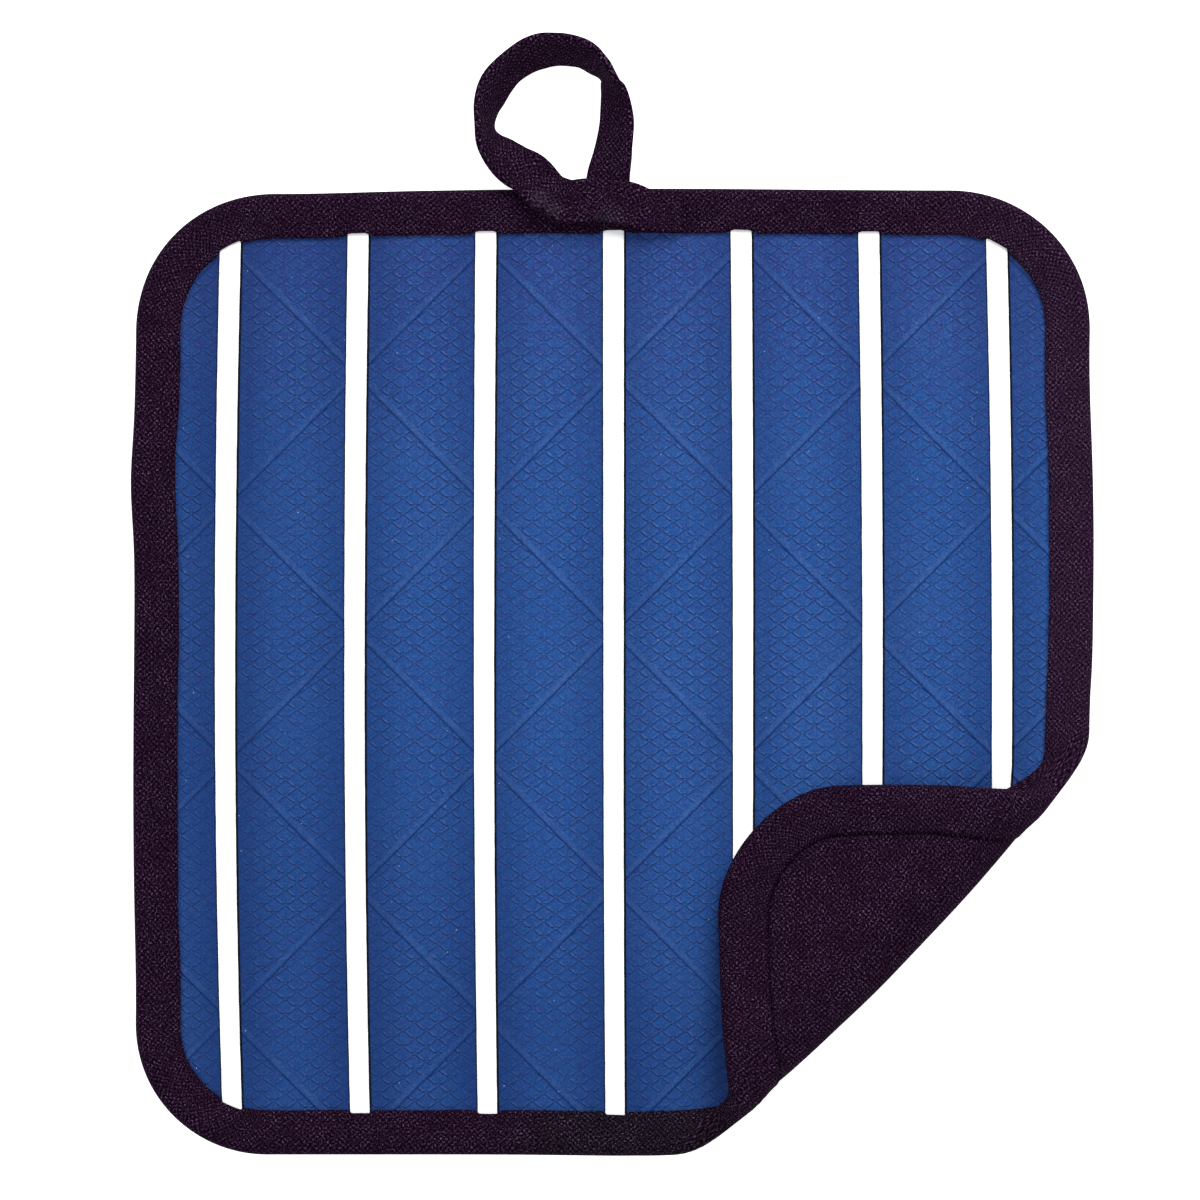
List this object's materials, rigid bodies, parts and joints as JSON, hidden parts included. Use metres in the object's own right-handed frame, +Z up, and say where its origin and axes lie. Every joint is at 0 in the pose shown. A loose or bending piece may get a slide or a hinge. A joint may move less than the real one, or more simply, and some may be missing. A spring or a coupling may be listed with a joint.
{
  "type": "pot holder",
  "caption": "Square pot holder with a scale-embossed blue silicone face, white strips, a dark cotton back and bound edge, a hanging loop and one corner turned over",
  "frame": {"origin": "on the surface it lies on, below the middle of the whole, which reaches from the lower edge to the top of the loop", "axes": "+X to the right across the strips, +Y along the strips towards the hanging loop, +Z up out of the blue face"},
  "size_m": [0.2034, 0.2374, 0.0168],
  "materials": {
    "blue_silicone": "satin blue silicone with a fine raised scale emboss and low diagonal ridges",
    "white_silicone": "smooth white silicone strip",
    "cotton_back": "dark aubergine plain-weave cotton",
    "cotton_tape": "dark aubergine plain-weave cotton tape, folded and sewn"
  },
  "bodies": {
    "root": {"back_panel": "cotton_back", "face_panel": "blue_silicone", "stripe_1": "white_silicone", "stripe_2": "white_silicone", "stripe_3": "white_silicone", "stripe_4": "white_silicone", "stripe_5": "white_silicone", "stripe_6": "white_silicone", "stripe_7": "white_silicone", "binding": "cotton_tape", "hanging_loop": "cotton_tape"}
  },
  "joints": []
}
